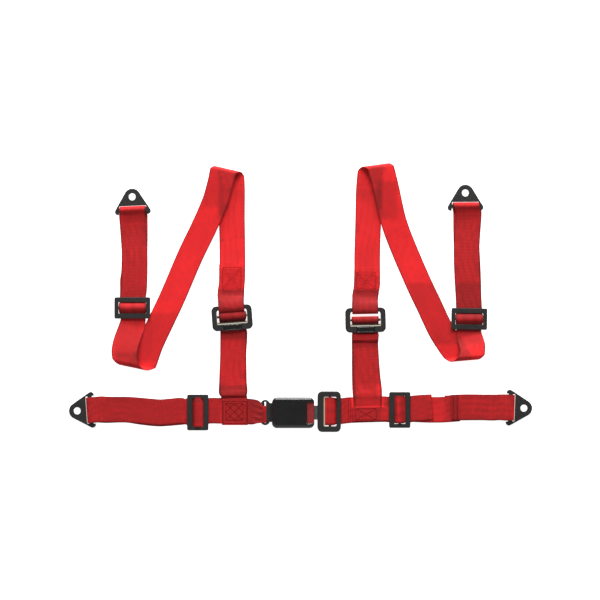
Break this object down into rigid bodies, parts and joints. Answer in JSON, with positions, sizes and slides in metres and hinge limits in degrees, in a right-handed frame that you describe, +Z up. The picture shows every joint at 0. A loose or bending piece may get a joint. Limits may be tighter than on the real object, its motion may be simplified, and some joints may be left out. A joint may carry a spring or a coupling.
{
  "type": "racing harness",
  "caption": "Four-strap racing harness of red webbing with a push-button buckle, tilt-lock adjusters, strap slides and bolt-on anchor plates, laid out flat.",
  "frame": {"origin": "on the surface the harness lies on, at the middle of its footprint laid out flat", "axes": "+X along the lap belt from the buckle to the tongue side, +Y towards the shoulder anchors, +Z up off the surface"},
  "size_m": [0.8784, 0.51, 0.0241],
  "materials": {
    "red_webbing": "tightly woven polyester webbing",
    "red_thread": "twisted sewing thread",
    "black_steel": "satin black coating with a fine grain",
    "black_moulding": "satin moulded plastic",
    "red_button": "smooth",
    "bright_steel": "zinc plated"
  },
  "bodies": {
    "harness_left": {"buckle_bottom_cover": "black_moulding", "buckle_top_cover": "black_moulding", "buckle_cover_screws": "bright_steel", "buckle_frame": "black_steel", "latch_pin": "bright_steel", "latch_spring": "bright_steel", "button_springs": "bright_steel", "ejector_spring": "bright_steel", "left_lap_strap": "red_webbing", "left_lap_slide": "black_steel", "left_lap_stitching": "red_thread", "left_loop_stitching": "red_thread", "left_shoulder_strap": "red_webbing", "left_rear_slide": "black_steel", "left_chest_strap": "red_webbing"},
    "button": {"release_button": "red_button"},
    "latch": {"latch_plate": "bright_steel"},
    "ejector": {"ejector": "black_moulding"},
    "left_lap_anchor": {"left_lap_anchor_plate": "black_steel"},
    "left_shoulder_anchor": {"left_shoulder_anchor_plate": "black_steel"},
    "left_adjuster": {"left_adjuster_frame": "black_steel", "left_adjuster_grip": "black_moulding", "left_adjuster_wrap": "red_webbing"},
    "left_lock_bar": {"left_lock_bar": "bright_steel"},
    "harness_right": {"tongue_plate": "bright_steel", "tongue_grip": "black_moulding", "right_lap_strap": "red_webbing", "right_lap_slide": "black_steel", "right_lap_stitching": "red_thread", "right_lap_hem_stitching": "red_thread", "right_loop_stitching": "red_thread", "right_shoulder_strap": "red_webbing", "right_rear_slide": "black_steel", "right_chest_strap": "red_webbing"},
    "tongue_lock_bar": {"tongue_lock_bar": "bright_steel"},
    "right_lap_anchor": {"right_lap_anchor_plate": "black_steel"},
    "right_shoulder_anchor": {"right_shoulder_anchor_plate": "black_steel"},
    "right_adjuster": {"right_adjuster_frame": "black_steel", "right_adjuster_grip": "black_moulding", "right_adjuster_wrap": "red_webbing"},
    "right_lock_bar": {"right_lock_bar": "bright_steel"}
  },
  "joints": [
    {"name": "tongue_release", "type": "slide", "parent": "harness_left", "child": "harness_right", "axis": [1, 0, 0], "range_m": [0, 0.027]},
    {"name": "button_press", "type": "slide", "parent": "harness_left", "child": "button", "axis": [-1, 0, 0], "range_m": [0, 0.005], "deforming": ["button_springs"]},
    {"name": "latch_lift", "type": "hinge", "parent": "harness_left", "child": "latch", "pos_m": [-0.02704, -0.21828, 0.01325], "axis": [0, -1, 0], "range_deg": [0, 6], "deforming": ["latch_spring"]},
    {"name": "ejector_push", "type": "slide", "parent": "harness_left", "child": "ejector", "axis": [1, 0, 0], "range_m": [0, 0.008], "deforming": ["ejector_spring"]},
    {"name": "left_shoulder_plate_swing", "type": "hinge", "parent": "harness_left", "child": "left_shoulder_anchor", "pos_m": [-0.31823, 0.16534, 0.00543], "axis": [0.999, 0.0436, 0], "range_deg": [0, 80]},
    {"name": "right_shoulder_plate_swing", "type": "hinge", "parent": "harness_right", "child": "right_shoulder_anchor", "pos_m": [0.31288, 0.17272, 0.00543], "axis": [1, 0.0087, 0], "range_deg": [0, 80]},
    {"name": "left_lap_plate_swing", "type": "hinge", "parent": "harness_left", "child": "left_lap_anchor", "pos_m": [-0.39821, -0.2134, 0.00543], "axis": [-0.0698, 0.9976, 0], "range_deg": [0, 80]},
    {"name": "right_lap_plate_swing", "type": "hinge", "parent": "harness_right", "child": "right_lap_anchor", "pos_m": [0.39817, -0.20919, 0.00543], "axis": [-0.0349, -0.9994, 0], "range_deg": [0, 80]},
    {"name": "left_adjuster_tilt", "type": "hinge", "parent": "harness_left", "child": "left_adjuster", "pos_m": [-0.13139, -0.01913, 0.00589], "axis": [-0.9972, -0.075, 0], "range_deg": [0, 30]},
    {"name": "left_lock_bar_slide", "type": "slide", "parent": "left_adjuster", "child": "left_lock_bar", "axis": [-0.075, 0.9972, 0], "range_m": [0, 0.0015]},
    {"name": "right_adjuster_tilt", "type": "hinge", "parent": "harness_right", "child": "right_adjuster", "pos_m": [0.12285, -0.02348, 0.00589], "axis": [-0.9998, -0.0209, 0], "range_deg": [0, 30]},
    {"name": "right_lock_bar_slide", "type": "slide", "parent": "right_adjuster", "child": "right_lock_bar", "axis": [-0.0209, 0.9998, 0], "range_m": [0, 0.0015]},
    {"name": "tongue_lock_bar_slide", "type": "slide", "parent": "harness_right", "child": "tongue_lock_bar", "axis": [1, 0, 0], "range_m": [0, 0.0015]}
  ],
  "couplings": [
    {"joint": "button_press", "follows": "tongue_release", "ratio": 0.185},
    {"joint": "latch_lift", "follows": "tongue_release", "rad_per_m": 3.87},
    {"joint": "ejector_push", "follows": "tongue_release", "ratio": 0.296}
  ]
}
